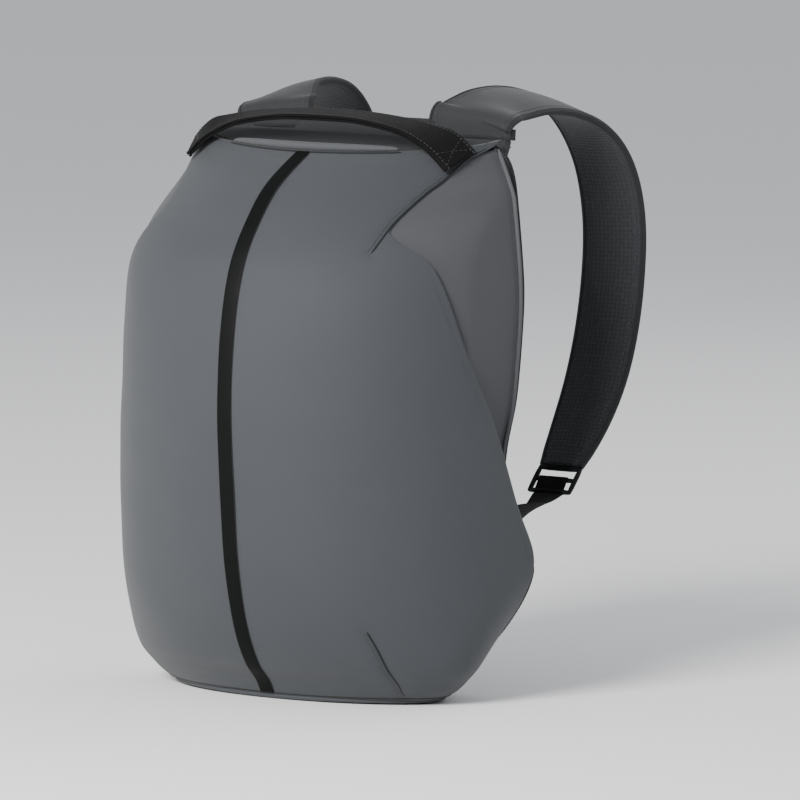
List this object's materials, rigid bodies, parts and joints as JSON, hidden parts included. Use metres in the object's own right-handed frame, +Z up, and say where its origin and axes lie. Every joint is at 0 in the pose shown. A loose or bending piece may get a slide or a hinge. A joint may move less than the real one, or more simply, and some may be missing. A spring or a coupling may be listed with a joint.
{
  "type": "anti theft backpack",
  "caption": "Structured backpack with a smooth convex front, side pockets, carry handle and padded straps; its opening lies along the rear edge.",
  "frame": {"origin": "middle of the flat underside that the backpack stands on", "axes": "+Z up, -Y towards the front with the centre strip, +Y towards the wearer's back, +X to the right seen from the front"},
  "size_m": [0.333, 0.3883, 0.4565],
  "materials": {
    "skin_fabric": "smooth matte coated fabric",
    "side_fabric": "matte woven fabric",
    "dark_fabric": "matte woven fabric",
    "padding": "padded spacer mesh",
    "strip_rubber": "matte rubber",
    "lip_fabric": "smooth matte coated fabric",
    "webbing": "ribbed webbing",
    "strap_fabric": "matte woven fabric",
    "buckle_plastic": "matte"
  },
  "bodies": {
    "root": {"front_shell": "skin_fabric", "side_panel_left": "side_fabric", "side_panel_right": "side_fabric", "roof_panel": "dark_fabric", "base_panel": "skin_fabric", "back_panel": "padding", "main_zip": "dark_fabric", "center_strip": "strip_rubber", "top_lip": "lip_fabric", "carry_handle": "webbing", "strap_yoke": "strap_fabric", "shoulder_strap_left": "strap_fabric", "shoulder_strap_right": "strap_fabric", "ladder_lock_left": "buckle_plastic", "ladder_lock_right": "buckle_plastic", "strap_webbing_left": "webbing", "strap_webbing_right": "webbing"}
  },
  "joints": []
}
